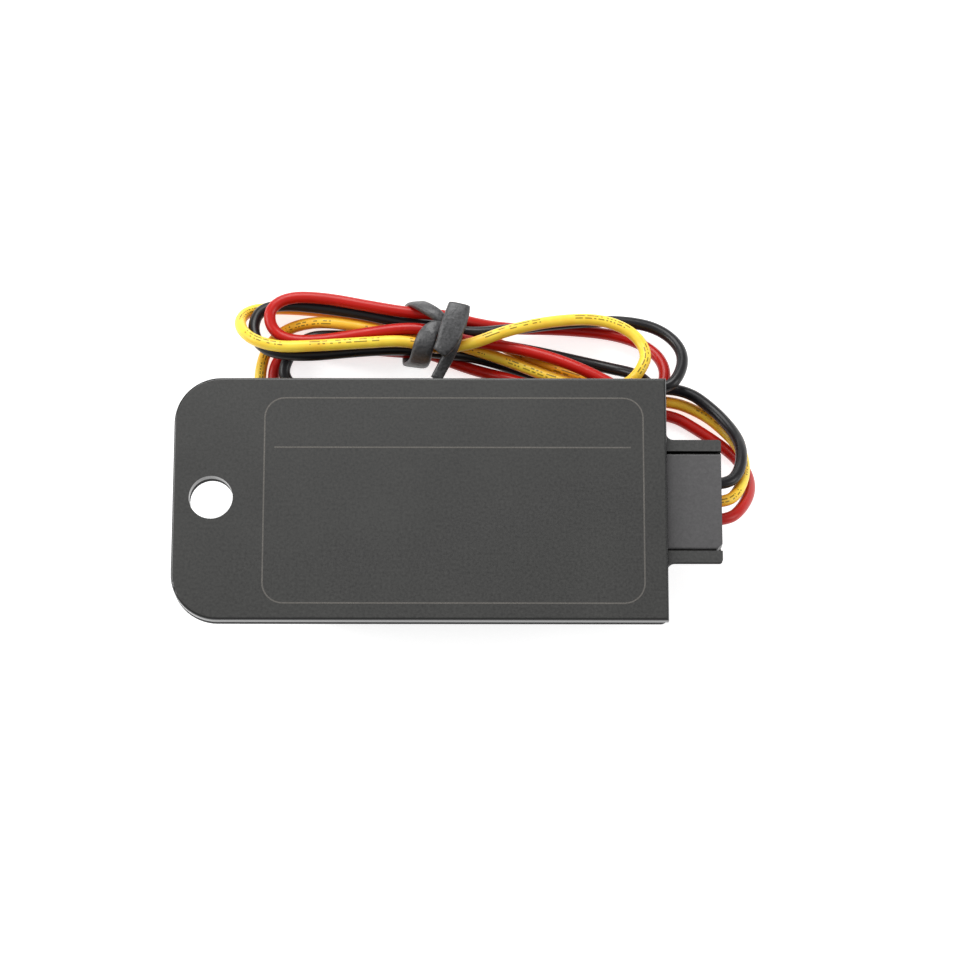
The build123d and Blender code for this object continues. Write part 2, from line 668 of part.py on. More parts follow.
for colour, wire, line, route in (
    ("red", red_wire, red_line, red_route),
    ("yellow", yellow_wire, yellow_line, yellow_route),
    ("black", black_wire, black_line, black_route),
):
    print(colour, "wire length", round(line.length, 1))
    volume_ratio = wire.part.volume / (wire_section * line.length)
    print(colour, "volume over section times length", round(volume_ratio, 4))
    print(colour, "least gap to itself", round(least_gap_to_itself(line), 2))
    print(colour, "bend radii", [round(radius, 1) for radius in bend_radii(route)])

front_housing.part.label = "front_housing"
back_cover.part.label = "back_cover"
circuit_board.part.label = "circuit_board"
humidity_element.part.label = "humidity_element"
humidity_legs.part.label = "humidity_legs"
thermistor_bead.part.label = "thermistor_bead"
thermistor_leads.part.label = "thermistor_leads"
microcontroller.part.label = "microcontroller"
microcontroller_leads.part.label = "microcontroller_leads"
chip_capacitors.part.label = "chip_capacitors"
chip_resistors.part.label = "chip_resistors"
header_housing.part.label = "header_housing"
header_pins.part.label = "header_pins"
plug_housing.part.label = "plug_housing"
red_terminal.part.label = "red_terminal"
yellow_terminal.part.label = "yellow_terminal"
black_terminal.part.label = "black_terminal"
red_wire.part.label = "red_wire"
yellow_wire.part.label = "yellow_wire"
black_wire.part.label = "black_wire"
red_wire_end.part.label = "red_wire_end"
yellow_wire_end.part.label = "yellow_wire_end"
black_wire_end.part.label = "black_wire_end"
wire_tie.part.label = "wire_tie"

export_step(front_housing.part, "parts/front_housing.step")
export_step(back_cover.part, "parts/back_cover.step")
export_step(circuit_board.part, "parts/circuit_board.step")
export_step(humidity_element.part, "parts/humidity_element.step")
export_step(humidity_legs.part, "parts/humidity_legs.step")
export_step(thermistor_bead.part, "parts/thermistor_bead.step")
export_step(thermistor_leads.part, "parts/thermistor_leads.step")
export_step(microcontroller.part, "parts/microcontroller.step")
export_step(microcontroller_leads.part, "parts/microcontroller_leads.step")
export_step(chip_capacitors.part, "parts/chip_capacitors.step")
export_step(chip_resistors.part, "parts/chip_resistors.step")
export_step(header_housing.part, "parts/header_housing.step")
export_step(header_pins.part, "parts/header_pins.step")
export_step(plug_housing.part, "parts/plug_housing.step")
export_step(red_terminal.part, "parts/red_terminal.step")
export_step(yellow_terminal.part, "parts/yellow_terminal.step")
export_step(black_terminal.part, "parts/black_terminal.step")
export_step(red_wire.part, "parts/red_wire.step")
export_step(yellow_wire.part, "parts/yellow_wire.step")
export_step(black_wire.part, "parts/black_wire.step")
export_step(red_wire_end.part, "parts/red_wire_end.step")
export_step(yellow_wire_end.part, "parts/yellow_wire_end.step")
export_step(black_wire_end.part, "parts/black_wire_end.step")
export_step(wire_tie.part, "parts/wire_tie.step")
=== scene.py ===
# %% [markdown]
# A flat sensor module lies on its grille with its back cover up. Three thin wires leave its plug,
# run behind the case and come up again as a small tied hank. The module's solids come from the CAD
# frame. This script adds the camera, the light, the wires, the tie, the cover's engraved frame and
# the materials. Lengths are in metres, and `mm` turns a millimetre into one.

# %% Start
import math

import bpy
import bmesh
from mathutils import Matrix, Vector


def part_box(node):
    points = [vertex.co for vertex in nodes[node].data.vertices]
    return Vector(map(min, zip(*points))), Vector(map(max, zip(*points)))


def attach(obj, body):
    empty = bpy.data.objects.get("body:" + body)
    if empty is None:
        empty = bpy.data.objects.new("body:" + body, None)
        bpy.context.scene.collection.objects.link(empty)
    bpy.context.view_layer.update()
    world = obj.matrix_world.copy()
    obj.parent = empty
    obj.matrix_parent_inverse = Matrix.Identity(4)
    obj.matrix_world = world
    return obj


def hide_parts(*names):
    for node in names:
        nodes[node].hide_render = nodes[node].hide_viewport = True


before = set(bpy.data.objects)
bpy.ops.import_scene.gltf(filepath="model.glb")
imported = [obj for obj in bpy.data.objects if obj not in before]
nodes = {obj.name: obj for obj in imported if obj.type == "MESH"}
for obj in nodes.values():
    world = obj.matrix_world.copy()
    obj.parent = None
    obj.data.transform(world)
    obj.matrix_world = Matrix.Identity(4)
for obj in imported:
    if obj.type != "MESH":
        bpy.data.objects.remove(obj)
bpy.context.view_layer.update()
mm = 0.001

# %% [markdown]
# The photograph was taken from well above, tilted about 15 degrees from straight down. The angles,
# the aim and the lens come from fitting the cover's four corners to the photograph, with the cover's
# assumed real size. The distance is the best of seven that were tried.

# %% Camera
camera_tilt = math.radians(14.57)
camera_pan = math.radians(-0.14)
camera_roll = math.radians(0.05)
camera_target = Vector((3.46, 1.94, 13.8)) * mm
camera_distance = 350 * mm
focal_over_frame = 3272.4 / 960
sensor_width = 36

camera_data = bpy.data.cameras.new("camera")
camera_data.sensor_width = sensor_width
camera_data.lens = focal_over_frame * sensor_width
camera_data.clip_start = 10 * mm
camera = bpy.data.objects.new("camera", camera_data)
bpy.context.scene.collection.objects.link(camera)
turn = (
    Matrix.Rotation(camera_roll, 4, "Z")
    @ Matrix.Rotation(camera_pan, 4, "Y")
    @ Matrix.Rotation(camera_tilt, 4, "X")
)
camera.matrix_world = Matrix.Translation(camera_target) @ turn @ Matrix.Translation((0, 0, camera_distance))
bpy.context.scene.camera = camera
print("lens", round(camera_data.lens, 1), "mm")

# %% [markdown]
# Every material is a small node tree. `add_node` makes a node and sets its values, and `linear`
# turns a colour picked in sRGB into the linear values that shaders use.


# %% Small helpers for materials
def linear(code):
    """A colour written as a hex sRGB code, as linear red, green, blue and alpha."""
    values = [int(code[i:i + 2], 16) / 255 for i in (1, 3, 5)]
    return tuple(v / 12.92 if v <= 0.04045 else ((v + 0.055) / 1.055) ** 2.4 for v in values) + (1.0,)


def add_node(tree, kind, inputs=None, **settings):
    """A node of one kind, with its settings; each input is a value or another node's output."""
    node = tree.nodes.new(kind)
    for key, value in settings.items():
        setattr(node, key, value)
    for key, value in (inputs or {}).items():
        if isinstance(value, bpy.types.NodeSocket):
            tree.links.new(value, node.inputs[key])
        else:
            node.inputs[key].default_value = value
    return node


def start_material(name):
    """An empty node material with a surface output, and its object coordinates."""
    material = bpy.data.materials.new(name)
    material.use_nodes = True
    tree = material.node_tree
    tree.nodes.clear()
    output = add_node(tree, "ShaderNodeOutputMaterial")
    place = add_node(tree, "ShaderNodeTexCoord").outputs["Object"]
    return material, tree, output, place


def noise(tree, place, size, detail=3.0, rough=0.5):
    """A noise pattern whose lumps are about this size in metres."""
    node = add_node(
        tree,
        "ShaderNodeTexNoise",
        {"Vector": place, "Scale": 1 / size, "Detail": detail, "Roughness": rough},
    )
    return node.outputs["Fac"]


def between(tree, factor, low, high, start=0.3, end=0.7):
    """A value from low to high as the factor goes from start to end."""
    node = add_node(
        tree,
        "ShaderNodeMapRange",
        {"Value": factor, "From Min": start, "From Max": end, "To Min": low, "To Max": high},
    )
    return node.outputs["Result"]


def math_node(tree, operation, first, second=0.0):
    """One arithmetic step."""
    return add_node(tree, "ShaderNodeMath", {0: first, 1: second}, operation=operation).outputs[0]


def two_colours(tree, factor, first, second):
    """A colour between two, by a factor."""
    node = add_node(
        tree,
        "ShaderNodeMix",
        {"Factor": factor, "A": first, "B": second},
        data_type="RGBA",
    )
    return node.outputs[2]


def bump(tree, height, depth, strength=1.0, normal=None):
    """A bump of a real depth in metres."""
    inputs = {"Height": height, "Distance": depth, "Strength": strength}
    if normal is not None:
        inputs["Normal"] = normal
    return add_node(tree, "ShaderNodeBump", inputs).outputs["Normal"]


def surface(tree, output, inputs):
    """A principled shader with these inputs, joined to the output."""
    shader = add_node(tree, "ShaderNodeBsdfPrincipled", inputs)
    tree.links.new(shader.outputs["BSDF"], output.inputs["Surface"])
    return shader


# %% [markdown]
# The case is moulded ABS with a fine spark-eroded grain, about a fifteenth of a millimetre across,
# and a faint cloudiness over centimetres. The plug is the same kind of plastic, a little paler.


# %% Moulded plastics
plastic_ior = 1.53


def moulded_plastic(name, base, pale, grain=0.07, depth=0.004, roughness=(0.42, 0.58), side=None):
    """A matt moulded plastic with a spark-eroded grain; its side faces can have another gloss and a darker
    colour, which is painted shade.
    """
    material, tree, output, place = start_material(name)
    fine = noise(tree, place, grain * mm, 2.0, 0.6)
    cloud = noise(tree, place, 9 * mm, 4.0, 0.55)
    speck = noise(tree, place, 0.3 * mm, 3.0, 0.7)
    mottle = math_node(tree, "ADD", between(tree, cloud, 0.0, 0.25), between(tree, speck, 0.0, 0.75))
    tone = two_colours(tree, mottle, linear(base), linear(pale))
    rough = between(tree, speck, *roughness)
    inputs = {"IOR": plastic_ior}
    if side:
        side_painted_shade, side_rough, side_shine = side
        # Side faces, whose normals are far from upright, get the darker side colour: painted shade.
        normal = add_node(tree, "ShaderNodeNewGeometry").outputs["Normal"]
        upright = add_node(tree, "ShaderNodeSeparateXYZ", {"Vector": normal}).outputs["Z"]
        flat = between(tree, math_node(tree, "ABSOLUTE", upright), 0.0, 1.0, 0.9, 0.99)
        tone = two_colours(tree, flat, linear(side_painted_shade), tone)
        rough = add_node(tree, "ShaderNodeMix", {"Factor": flat, "A": side_rough, "B": rough}).outputs[0]
        inputs["Specular IOR Level"] = between(tree, flat, side_shine, 0.5, 0.0, 1.0)
    normal = bump(tree, fine, depth * mm, 0.7)
    surface(tree, output, {"Base Color": tone, "Roughness": rough, "Normal": normal, **inputs})
    return material


# Each side tuple gives the side faces' painted-shade colour, their roughness and their shine.
cover_plastic = moulded_plastic("moulded_abs_black", "#1a1a19", "#363634", side=("#0b0b0b", 0.2, 0.6))
case_plastic = moulded_plastic("moulded_abs_black_housing", "#252524", "#40403f", side=("#080707", 0.6, 0.08))
plug_plastic = moulded_plastic("moulded_nylon_grey", "#434243", "#504f50", 0.05, 0.002, (0.38, 0.5))
tie_plastic = moulded_plastic("soft_tie_plastic", "#29292a", "#575758", 0.4, 0.08, (0.3, 0.5))
header_nylon = moulded_plastic("moulded_nylon_white", "#d8d2c2", "#e2dccd", 0.06, 0.002, (0.4, 0.5))
chip_resin = moulded_plastic("moulded_chip_resin", "#1b1b1c", "#242425", 0.05, 0.004, (0.5, 0.65))


def engraved_plastic():
    """The pale, dull bottom of a laser-engraved line."""
    material, tree, output, place = start_material("engraved_abs")
    fine = noise(tree, place, 0.08 * mm, 3.0, 0.6)
    long_wave = noise(tree, place, 3 * mm, 2.0, 0.5)
    tone = two_colours(tree, between(tree, fine, 0.0, 1.0), linear("#454340"), linear("#6d6964"))
    tone = two_colours(tree, between(tree, long_wave, 0.0, 0.4), tone, linear("#4c4a47"))
    normal = bump(tree, fine, 0.01 * mm)
    surface(tree, output, {"Base Color": tone, "Roughness": 0.75, "IOR": 1.5, "Normal": normal})
    return material


engraving = engraved_plastic()
print("moulded plastics made")

# %% [markdown]
# The insulation is soft PVC, smooth and a little waxy. A curve's UV runs along its length, so the
# yellow wire's rows of printed marks are worked out from U times the wire's length.


# %% Wire insulation
dash_chance = 0.42
dash_half_width = 0.018
printed_share = 0.66
ink_strength = 0.75


def insulation(name, base, cloud_and_shade_colour, length, marks=None):
    """Soft PVC, with a faint cloudiness, painted shade toward a deeper colour where other surfaces are near,
    and, where asked, rows of small printed marks.
    """
    material, tree, output, place = start_material(name)
    uv = add_node(tree, "ShaderNodeTexCoord").outputs["UV"]
    split = add_node(tree, "ShaderNodeSeparateXYZ", {"Vector": uv})
    along = add_node(tree, "ShaderNodeMath", {0: split.outputs["X"], 1: length}, operation="MULTIPLY")
    cloud = noise(tree, place, 2.2 * mm, 3.0, 0.5)
    fine = noise(tree, place, 0.12 * mm, 2.0, 0.6)
    tone = two_colours(tree, between(tree, cloud, 0.0, 0.4), linear(base), linear(cloud_and_shade_colour))
    # Painted shade: within 7 mm of other surfaces, found by ambient occlusion, the colour turns toward the
    # deep colour (orange for yellow).
    painted_shade_ao = add_node(tree, "ShaderNodeAmbientOcclusion", {"Distance": 7 * mm}, samples=8).outputs["AO"]
    tone = two_colours(tree, between(tree, painted_shade_ao, 1.0, 0.0, 0.3, 0.85), tone, linear(cloud_and_shade_colour))
    if marks:
        tone = printed_dashes(tree, tone, along.outputs[0], split.outputs["Y"], linear(marks))
    rough = between(tree, cloud, 0.26, 0.38)
    normal = bump(tree, fine, 0.004 * mm, 0.6)
    shine = {"Roughness": rough, "IOR": plastic_ior, "Specular IOR Level": 0.3}
    surface(tree, output, {"Base Color": tone, "Normal": normal, **shine})
    return material


def dash_row(tree, along, around, middle, pitch=0.22 * mm, shift=0.0):
    """One thin row of small printed marks, each there or not by chance."""
    cell = math_node(tree, "FLOOR", math_node(tree, "DIVIDE", along, pitch))
    chance = add_node(
        tree,
        "ShaderNodeTexWhiteNoise",
        {"W": math_node(tree, "ADD", cell, shift)},
        noise_dimensions="1D",
    ).outputs["Value"]
    there = math_node(tree, "GREATER_THAN", chance, dash_chance)
    away = math_node(tree, "ABSOLUTE", math_node(tree, "SUBTRACT", around, middle))
    return math_node(tree, "MULTIPLY", there, math_node(tree, "LESS_THAN", away, dash_half_width))


def printed_dashes(tree, tone, along, around, ink, group=9.2 * mm):
    """Two rows of small marks in groups, as a worn legend reads from a distance."""
    rows = math_node(
        tree,
        "MAXIMUM",
        dash_row(tree, along, around, 0.19),
        dash_row(tree, along, around, 0.27, shift=0.5),
    )
    run = math_node(tree, "FRACT", math_node(tree, "DIVIDE", along, group))
    grouped = math_node(tree, "MULTIPLY", rows, math_node(tree, "LESS_THAN", run, printed_share))
    return two_colours(tree, math_node(tree, "MULTIPLY", grouped, ink_strength), tone, ink)


# %% [markdown]
# Metals, ceramics and the board are seen only through the grille or at the wires' ends.


# %% Metals, ceramics and board
def tinned_metal(name, base, pale):
    """Dull tin plate with fine drawn scratches."""
    material, tree, output, place = start_material(name)
    stretch = add_node(tree, "ShaderNodeMapping", {"Vector": place, "Scale": (0.15, 1.0, 1.0)})
    scratch = noise(tree, stretch.outputs["Vector"], 0.05 * mm, 3.0, 0.6)
    tone = two_colours(tree, between(tree, scratch, 0.0, 1.0), linear(base), linear(pale))
    rough = between(tree, scratch, 0.25, 0.42)
    normal = bump(tree, scratch, 0.003 * mm)
    surface(tree, output, {"Base Color": tone, "Metallic": 1.0, "Roughness": rough, "Normal": normal})
    return material


def solid_mineral(name, base, pale, rough, grain):
    """Fired ceramic, glaze or cured epoxy with a fine mottle."""
    material, tree, output, place = start_material(name)
    mottle = noise(tree, place, grain * mm, 4.0, 0.6)
    tone = two_colours(tree, between(tree, mottle, 0.0, 1.0), linear(base), linear(pale))
    normal = bump(tree, mottle, 0.004 * mm)
    roughness = between(tree, mottle, rough, rough + 0.12)
    surface(tree, output, {"Base Color": tone, "Roughness": roughness, "IOR": 1.55, "Normal": normal})
    return material


def board_mask():
    """Green solder mask over a glass weave, with a faint cloudiness."""
    material, tree, output, place = start_material("solder_mask_on_glass_epoxy")
    weave = add_node(
        tree,
        "ShaderNodeTexBrick",
        {
            "Vector": place,
            "Scale": 1 / (0.9 * mm),
            "Mortar Size": 0.06,
            "Brick Width": 3.0,
            "Row Height": 0.9,
        },
    ).outputs["Fac"]
    cloud = noise(tree, place, 1.5 * mm, 3.0, 0.5)
    tone = two_colours(tree, between(tree, cloud, 0.0, 1.0), linear("#1f5a34"), linear("#256a3e"))
    tone = two_colours(tree, math_node(tree, "MULTIPLY", weave, 0.5), tone, linear("#2f7d4b"))
    normal = bump(tree, weave, 0.02 * mm, 0.5)
    surface(tree, output, {"Base Color": tone, "Roughness": 0.32, "IOR": 1.55, "Normal": normal})
    return material


tin = tinned_metal("tinned_copper", "#b9b8b4", "#d6d5d0")
tinned_brass = tinned_metal("tinned_brass", "#b8ae90", "#cfc6a8")
brass = tinned_metal("stamped_brass", "#b79a56", "#cdb06a")
ceramic = solid_mineral("fired_ceramic", "#cfc9bb", "#ded9cd", 0.6, 0.2)
brown_ceramic = solid_mineral("capacitor_ceramic", "#8a6d4a", "#9b7c55", 0.5, 0.1)
glaze = solid_mineral("resistor_glaze", "#141416", "#1f1f22", 0.3, 0.1)
epoxy = solid_mineral("dipped_epoxy", "#141414", "#202020", 0.22, 0.3)
board = board_mask()

finishes = {
    "front_housing": case_plastic,
    "back_cover": cover_plastic,
    "plug_housing": plug_plastic,
    "header_housing": header_nylon,
    "microcontroller": chip_resin,
    "circuit_board": board,
    "humidity_element": ceramic,
    "humidity_legs": tin,
    "thermistor_bead": epoxy,
    "thermistor_leads": tin,
    "microcontroller_leads": tin,
    "chip_capacitors": brown_ceramic,
    "chip_resistors": glaze,
    "header_pins": tinned_brass,
    "red_terminal": brass,
    "yellow_terminal": brass,
    "black_terminal": brass,
    "red_wire_end": tin,
    "yellow_wire_end": tin,
    "black_wire_end": tin,
}
for name, material in finishes.items():
    mesh = nodes[name].data
    mesh.materials.clear()
    mesh.materials.append(material)
print("finished CAD pieces:", len(finishes))

# %% [markdown]
# Each wire is one smooth line through the whole hank: out of the plug, round the case's corner,
# left behind it, up into the hank, three times through the tie, and back behind the case. The
# points are the wires' control points in millimetres.

# %% Routes of the wires
wire_diameter = 1.3 * mm
red_route = [
    (28.4, -1, 8.1), (30.3, -1, 8), (31.89, 0.38, 7), (33.17, 2.99, 4.7),
    (33.1, 5.8, 2.2), (31.6, 8.32, 0.86), (28.32, 10.75, 0.75), (24.38, 13.17, 0.75),
    (19.03, 12.37, 0.75), (11.02, 11.52, 0.75), (3, 11.75, 0.75), (-4, 12.5, 0.75),
    (-10.4, 13.25, 0.75), (-15.6, 13.35, 0.75), (-18.8, 14.4, 0.75), (-19.81, 16.8, 0.75),
    (-19.23, 19.4, 0.8), (-16.96, 20.61, 0.76), (-12.11, 20.46, 0.89), (-8.61, 20.31, 1.13),
    (-5.3, 19.94, 1.35), (-2.35, 19.87, 1.3), (0.45, 18.88, 0.75), (3.36, 17.85, 0.75),
    (7.37, 16.45, 2.19), (12.72, 14.49, 2.32), (18.05, 12.96, 2.57), (21.25, 13.01, 2.78),
    (22.74, 13.95, 2.91), (24.36, 16.65, 3.1), (23.29, 19.89, 1.6), (19.43, 22.13, 0.75),
    (13.03, 22.83, 0.75), (6.28, 22.61, 1.6), (2.23, 23.03, 2.76), (-0.26, 23.48, 3.9),
    (-4.75, 23.75, 4.1), (-9.03, 24.48, 4.15), (-13.62, 25.45, 3.9), (-17.76, 25.67, 3.88),
    (-20.02, 24.31, 3.92), (-19.94, 22.12, 3.8), (-18.13, 20.53, 3.81), (-14.13, 20.53, 3.79),
    (-9.44, 21.29, 4.1), (-4.75, 21.9, 4.35), (-1.54, 21.5, 4.55), (1.66, 20.32, 4.45),
    (5.59, 20.08, 3.84), (11.24, 18.59, 4.3), (16.42, 16.28, 4.79), (19.6, 14.4, 4.65),
]
yellow_route = [
    (28.4, 1, 8.1), (30.3, 1, 8), (31.66, 2.4, 7), (32.62, 5.13, 5.2),
    (32.41, 8.34, 2.77), (30.92, 10.72, 1.16), (28.39, 13.04, 0.75), (24.63, 14.56, 0.75),
    (19.82, 14.1, 0.75), (12, 13.15, 0.75), (4, 13.25, 1.18), (-2, 13, 2.3),
    (-7.4, 12.1, 2.25), (-12.8, 11.7, 0.9), (-18.2, 12.05, 0.75), (-20.81, 14.3, 0.75),
    (-21.25, 17.55, 0.8), (-20.37, 20.81, 0.85), (-18.2, 22.75, 1.3), (-14.62, 23.26, 2.36),
    (-10.23, 22.68, 2.47), (-4.9, 21.3, 2.85), (-1.47, 21.12, 3.22), (1.89, 20.02, 3.07),
    (4.71, 19.28, 2.46), (8.05, 18.01, 2.52), (12.15, 16.13, 3.22), (16.94, 15.24, 2.87),
    (19.8, 15.52, 3.52), (21.29, 16.73, 5.13), (22.1, 19.1, 4.16), (20.4, 21.7, 3.9),
    (16.6, 23.2, 3.8), (11.14, 22.59, 4.6), (6.35, 21.15, 5.72), (2.27, 19.48, 5.6),
    (-1.66, 19.32, 4.7), (-4.75, 20.4, 4.5), (-9.85, 19.91, 5), (-15.6, 19.4, 5.45),
    (-19.2, 19.3, 5.5), (-22.2, 20.4, 5.1), (-23.6, 22.85, 2.85), (-22.6, 24.9, 1.15),
    (-19.6, 25.25, 0.85), (-14.4, 24.9, 1), (-7, 23.65, 1.3), (-1.49, 22.9, 1.2),
    (1.9, 22.4, 0.75), (4.66, 21.67, 0.75), (8.66, 19.37, 0.75), (13.25, 17.6, 0.75),
    (16.4, 16.7, 0.75),
]
black_route = [
    (28.4, 3, 8.1), (30.3, 3, 8), (31.72, 4.38, 7.4), (32.27, 7.24, 6),
    (31.71, 9.81, 3.9), (29.61, 12.9, 2.3), (26.46, 15.48, 1.83), (21.89, 15.78, 1.36),
    (13.6, 14.82, 0.75), (4.62, 14.61, 0.75), (-4.4, 14.7, 0.75), (-11.6, 14.8, 0.8),
    (-16.4, 15.2, 1.2), (-18.6, 16.9, 1.85), (-18, 19.15, 2.08), (-16, 21.41, 2.49),
    (-12.12, 21.96, 1.15), (-5.8, 21.59, 1.24), (-1.5, 21.35, 1.36), (1.7, 21.31, 1.94),
    (4.6, 20.66, 2.12), (9.05, 19.84, 2.42), (13.55, 19.13, 1.35), (18.02, 18.12, 1.27),
    (21.07, 16.99, 2.75), (22.62, 14.91, 4.38), (24.8, 15, 5.07), (26.14, 17.87, 3.9),
    (25.7, 20.45, 2.65), (23.42, 22.61, 1.9), (19.95, 23.42, 1.9), (15.57, 23.32, 2.2),
    (10.74, 22.78, 2.6), (6.59, 21.92, 3.43), (2.24, 21.36, 3.89), (-1.52, 22.55, 2.93),
    (-4.75, 22.85, 2.85), (-9.6, 24.03, 2.7), (-14.32, 24.76, 2.55), (-18.6, 25.2, 2.42),
    (-21.2, 24.6, 2.35), (-22, 22.4, 2.7), (-21.2, 20.15, 3.35), (-19.2, 18.9, 4.1),
    (-15.75, 18.68, 4.05), (-11.56, 19.26, 3.5), (-8.01, 19.68, 3.1), (-4.75, 19.8, 2.95),
    (-1, 19.42, 2.8), (1.9, 19.5, 1.59), (4.77, 18.95, 1.11), (9.13, 17.46, 1.03),
    (12.6, 16.53, 1.7),
]


# %% Wires
def lay_wire(name, route, node, material, body="plug"):
    """A round wire along a smooth line, in the place of its CAD solid."""
    curve = bpy.data.curves.new(name, "CURVE")
    curve.dimensions = "3D"
    curve.bevel_depth = wire_diameter / 2
    curve.bevel_resolution = 7
    curve.resolution_u = 10
    curve.use_fill_caps = True
    curve.twist_mode = "Z_UP"
    line = curve.splines.new("NURBS")
    line.points.add(len(route) - 1)
    for point, place in zip(line.points, route):
        point.co = (*(Vector(place) * mm), 1)
    line.order_u = 3
    line.use_endpoint_u = True
    curve.materials.append(material)
    wire = bpy.data.objects.new(name, curve)
    bpy.context.scene.collection.objects.link(wire)
    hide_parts(node)
    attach(wire, body)
    return wire


wire_facts = {
    "red": (red_route, 210.3 * mm, "#b9180e", "#a80f08", None),
    "yellow": (yellow_route, 215.1 * mm, "#fbe04c", "#ee9410", "#4a3810"),
    "black": (black_route, 206.4 * mm, "#141315", "#1d1c1f", None),
}
for colour, (route, length, base, cloud_and_shade_colour, marks) in wire_facts.items():
    vinyl = insulation(colour + "_pvc", base, cloud_and_shade_colour, length, marks)
    lay_wire(colour + "_wire_insulation", route, colour + "_wire", vinyl)
    print(colour, "wire points:", len(route), "length:", length)

# %% [markdown]
# The tie is a soft plastic strip. Its loop goes once round the hank, and its two ends cross on top:
# one stands up to the right as a broad band with a square cut end, and the other folds under it
# and runs down behind the case. Each station gives the strip's middle, its width and thickness, and
# the way its flat side faces.


# %% Tie
def smooth_stations(stations, steps=6):
    """A quadratic spline through the middles between stations, from the first to the last."""
    rows = [Vector(row) if len(row) <= 4 else list(row) for row in stations]
    values = [[float(v) for v in row] for row in rows]
    out = [values[0]]
    for before, here, after in zip(values, values[1:], values[2:]):
        first = before if before is values[0] else [(a + b) / 2 for a, b in zip(before, here)]
        last = after if after is values[-1] else [(a + b) / 2 for a, b in zip(here, after)]
        for i in range(1, steps + 1):
            t = i / steps
            row = [(1 - t) ** 2 * a + 2 * t * (1 - t) * b + t * t * c for a, b, c in zip(first, here, last)]
            out.append(row)
    return out


def strip_section(width, thickness, sides=16, squareness=3.2):
    """A flat strip's rounded cross-section, as points across and up."""
    points = []
    for i in range(sides):
        angle = 2 * math.pi * i / sides
        c, s = math.cos(angle), math.sin(angle)
        across = math.copysign(abs(c) ** (2 / squareness), c) * width / 2
        up = math.copysign(abs(s) ** (2 / squareness), s) * thickness / 2
        points.append((across, up))
    return points


def sweep_strip(name, stations, material):
    """A closed mesh strip along stations of (x, y, z, width, thickness, normal x, y, z) in mm."""
    rows = smooth_stations(stations)
    mesh_maker = bmesh.new()
    rings = []
    for i, row in enumerate(rows):
        middle = Vector(row[:3])
        ahead = Vector(rows[min(i + 1, len(rows) - 1)][:3]) - Vector(rows[max(i - 1, 0)][:3])
        ahead.normalize()
        facing = Vector(row[5:8])
        facing -= ahead * facing.dot(ahead)
        facing.normalize()
        side = ahead.cross(facing)
        ring = []
        for across, up in strip_section(row[3], row[4]):
            ring.append(mesh_maker.verts.new((middle + side * across + facing * up) * mm))
        rings.append(ring)
    for ring, after in zip(rings, rings[1:]):
        for i in range(len(ring)):
            j = (i + 1) % len(ring)
            mesh_maker.faces.new((ring[i], ring[j], after[j], after[i]))
    mesh_maker.faces.new(list(reversed(rings[0])))
    mesh_maker.faces.new(rings[-1])
    bmesh.ops.recalc_face_normals(mesh_maker, faces=mesh_maker.faces)
    mesh = bpy.data.meshes.new(name)
    mesh_maker.to_mesh(mesh)
    mesh_maker.free()
    for face in mesh.polygons:
        face.use_smooth = len(face.vertices) == 4
    mesh.materials.append(material)
    strip = bpy.data.objects.new(name, mesh)
    bpy.context.scene.collection.objects.link(strip)
    return strip


loop_stations = [
    (0.0, 21.4, 6.0, 1.2, 0.8, 0, 0, 1),
    (-0.7, 22.2, 6.3, 1.25, 0.85, 0.1, 0.2, 1),
    (-1.45, 22.9, 6.35, 1.45, 0.9, 0.1, 0.3, 1),
    (-2.2, 23.45, 6.1, 1.5, 0.9, -0.1, 0.6, 1),
    (-3.1, 24.2, 5.4, 1.6, 0.8, -0.2, 1, 0.7),
    (-3.8, 24.8, 4.2, 1.8, 0.6, -0.1, 1, 0.1),
    (-4.15, 24.95, 1.8, 2.0, 0.45, 0, 1, -0.4),
    (-4.2, 24.3, 0.32, 2.1, 0.42, 0, 0.5, -1),
    (-4.1, 21.8, 0.27, 2.1, 0.42, 0, 0, -1),
    (-4.15, 19.3, 0.3, 2.2, 0.42, 0, -0.3, -1),
    (-4.05, 18.5, 1.1, 2.3, 0.5, -0.1, -1, -0.5),
    (-3.7, 18.15, 2.4, 2.3, 0.65, -0.1, -1, 0.1),
    (-3.3, 18.1, 3.6, 2.35, 0.8, -0.1, -1, 0.3),
    (-3.05, 18.4, 4.8, 2.35, 0.9, -0.2, -0.8, 0.6),
    (-2.85, 19.1, 5.9, 2.35, 0.95, -0.3, -0.5, 1),
    (-2.45, 20.05, 6.5, 2.3, 0.95, -0.35, -0.3, 1),
    (-2.0, 20.95, 6.6, 1.9, 0.95, -0.3, 0, 1),
    (-1.1, 21.4, 6.4, 1.6, 0.85, 0, 0, 1),
    (0.0, 21.5, 6.1, 1.4, 0.8, 0, 0, 1),
]
tail_stations = [
    (1.17, 23.6, 7.35, 2.45, 0.95, 0.1, 0.1, 1),
    (1.06, 22.95, 7.5, 2.65, 1.05, 0.1, 0.1, 1),
    (0.72, 21.8, 7.55, 2.75, 1.05, 0.1, 0, 1),
    (0.33, 20.7, 7.5, 2.7, 1.05, 0, 0, 1),
    (-0.06, 19.75, 7.2, 2.5, 1.0, -0.1, -0.1, 1),
    (-0.5, 19.0, 6.8, 2.1, 0.95, -0.2, -0.2, 1),
    (-1.0, 18.45, 6.4, 1.7, 0.9, -0.2, -0.3, 1),
]
